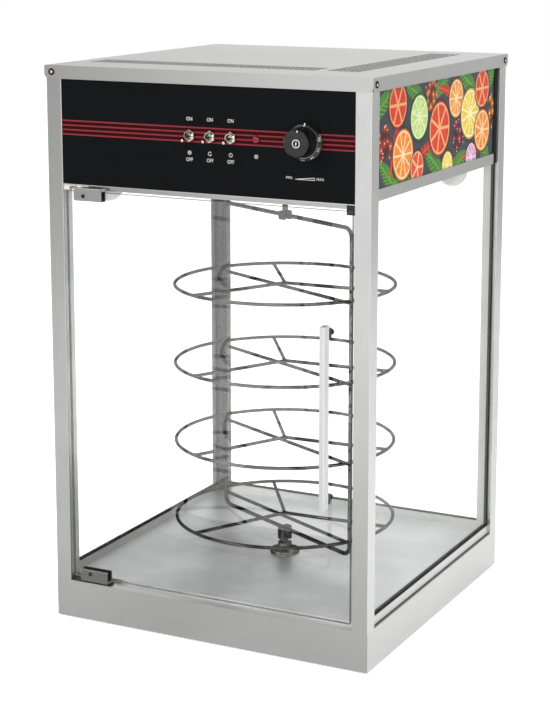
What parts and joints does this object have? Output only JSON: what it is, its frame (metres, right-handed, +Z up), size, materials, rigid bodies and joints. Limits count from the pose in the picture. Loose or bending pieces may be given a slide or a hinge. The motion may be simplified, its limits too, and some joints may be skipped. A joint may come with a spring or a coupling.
{
  "type": "hot food display case",
  "caption": "Countertop heated glass cabinet with a turning tiered wire rack, hinged glass door and a control head with switches and a thermostat.",
  "frame": {"origin": "stand plane under the turntable axis, which is the middle of the cabinet", "axes": "+Z up, front with door and controls towards -Y, +X to the right seen from the front"},
  "size_m": [0.4876, 0.533, 0.78],
  "materials": {
    "stainless_sheet": "brushed stainless sheet",
    "floor_stainless": "satin stainless floor",
    "galvanised_sheet": "zinc coated sheet",
    "clear_glass": "clear toughened glass",
    "black_rubber": "black rubber",
    "black_panel": "black screen printed panel",
    "printed_film": "glossy printed film on board",
    "plated_screw": "nickel plated",
    "rack_wire": "polished stainless wire",
    "turned_steel": "turned steel",
    "heater_sheath": "oxidised tube",
    "motor_housing": "zinc plated housing",
    "black_plastic": "moulded black plastic",
    "knob_plastic": "glossy black phenolic",
    "white_plastic": "white moulded",
    "lamp_glass": "frosted lamp glass",
    "red_lens": "red lens",
    "clamp_metal": "satin nickel",
    "handle_aluminium": "satin anodised",
    "standoff_plastic": "black"
  },
  "bodies": {
    "cabinet": {"front_skirt": "stainless_sheet", "back_skirt": "stainless_sheet", "left_skirt": "stainless_sheet", "right_skirt": "stainless_sheet", "bottom_cover": "galvanised_sheet", "rubber_feet": "black_rubber", "post_front_left": "stainless_sheet", "post_front_right": "stainless_sheet", "post_back_left": "stainless_sheet", "post_back_right": "stainless_sheet", "floor_plate": "floor_stainless", "left_glass": "clear_glass", "right_glass": "clear_glass", "back_glass": "clear_glass", "left_glass_channel": "stainless_sheet", "right_glass_channel": "stainless_sheet", "back_glass_channel": "stainless_sheet", "glass_gaskets": "black_rubber", "left_head_rail": "stainless_sheet", "right_head_rail": "stainless_sheet", "front_head_rail": "stainless_sheet", "left_picture_panel": "printed_film", "right_picture_panel": "printed_film", "back_head_panel": "stainless_sheet", "front_control_panel": "black_panel", "ceiling_panel": "floor_stainless", "lid": "stainless_sheet", "lid_screws": "plated_screw", "heating_element": "heater_sheath", "heater_brackets": "galvanised_sheet", "gear_motor": "motor_housing", "bearing_flange": "turned_steel", "flange_screws": "plated_screw", "top_pivot_bush": "turned_steel", "lamp_holders": "white_plastic", "lamp_bulbs": "lamp_glass", "thermostat_body": "black_plastic", "switch_bodies": "black_plastic", "switch_nuts": "plated_screw", "pilot_lamp": "red_lens", "terminal_block": "black_plastic", "cable_gland": "black_plastic", "hinge_bottom_plate": "black_plastic", "hinge_top_bracket": "white_plastic", "door_catch": "black_plastic"},
    "door": {"door_glass": "clear_glass", "top_hinge_clamp": "clamp_metal", "bottom_hinge_clamp": "clamp_metal", "clamp_liners": "black_rubber", "clamp_screws": "plated_screw", "door_handle": "handle_aluminium", "handle_standoffs": "standoff_plastic"},
    "rack": {"drive_fork": "turned_steel", "rack_frame": "rack_wire", "rack_shelf_1": "rack_wire", "rack_shelf_2": "rack_wire", "rack_shelf_3": "rack_wire", "rack_shelf_4": "rack_wire", "top_pivot_pin": "turned_steel"},
    "knob": {"thermostat_knob": "knob_plastic"},
    "light_lever": {"light_switch_lever": "plated_screw"},
    "rotation_lever": {"rotation_switch_lever": "plated_screw"},
    "power_lever": {"power_switch_lever": "plated_screw"}
  },
  "joints": [
    {"name": "door_hinge", "type": "hinge", "parent": "cabinet", "child": "door", "pos_m": [-0.192, -0.2355, 0.335], "axis": [0, 0, -1], "range_deg": [0, 120]},
    {"name": "rack_spin", "type": "hinge", "parent": "cabinet", "child": "rack", "pos_m": [0, 0, 0.3], "axis": [0, 0, 1], "continuous": true},
    {"name": "thermostat_turn", "type": "hinge", "parent": "cabinet", "child": "knob", "pos_m": [0.147, -0.2395, 0.696], "axis": [0, 1, 0], "range_deg": [0, 270]},
    {"name": "light_switch", "type": "hinge", "parent": "cabinet", "child": "light_lever", "pos_m": [-0.0199, -0.238, 0.6955], "axis": [-1, 0, 0], "range_deg": [0, 25]},
    {"name": "rotation_switch", "type": "hinge", "parent": "cabinet", "child": "rotation_lever", "pos_m": [0.0105, -0.238, 0.6955], "axis": [-1, 0, 0], "range_deg": [0, 25]},
    {"name": "power_switch", "type": "hinge", "parent": "cabinet", "child": "power_lever", "pos_m": [0.0409, -0.238, 0.6955], "axis": [-1, 0, 0], "range_deg": [0, 25]}
  ]
}
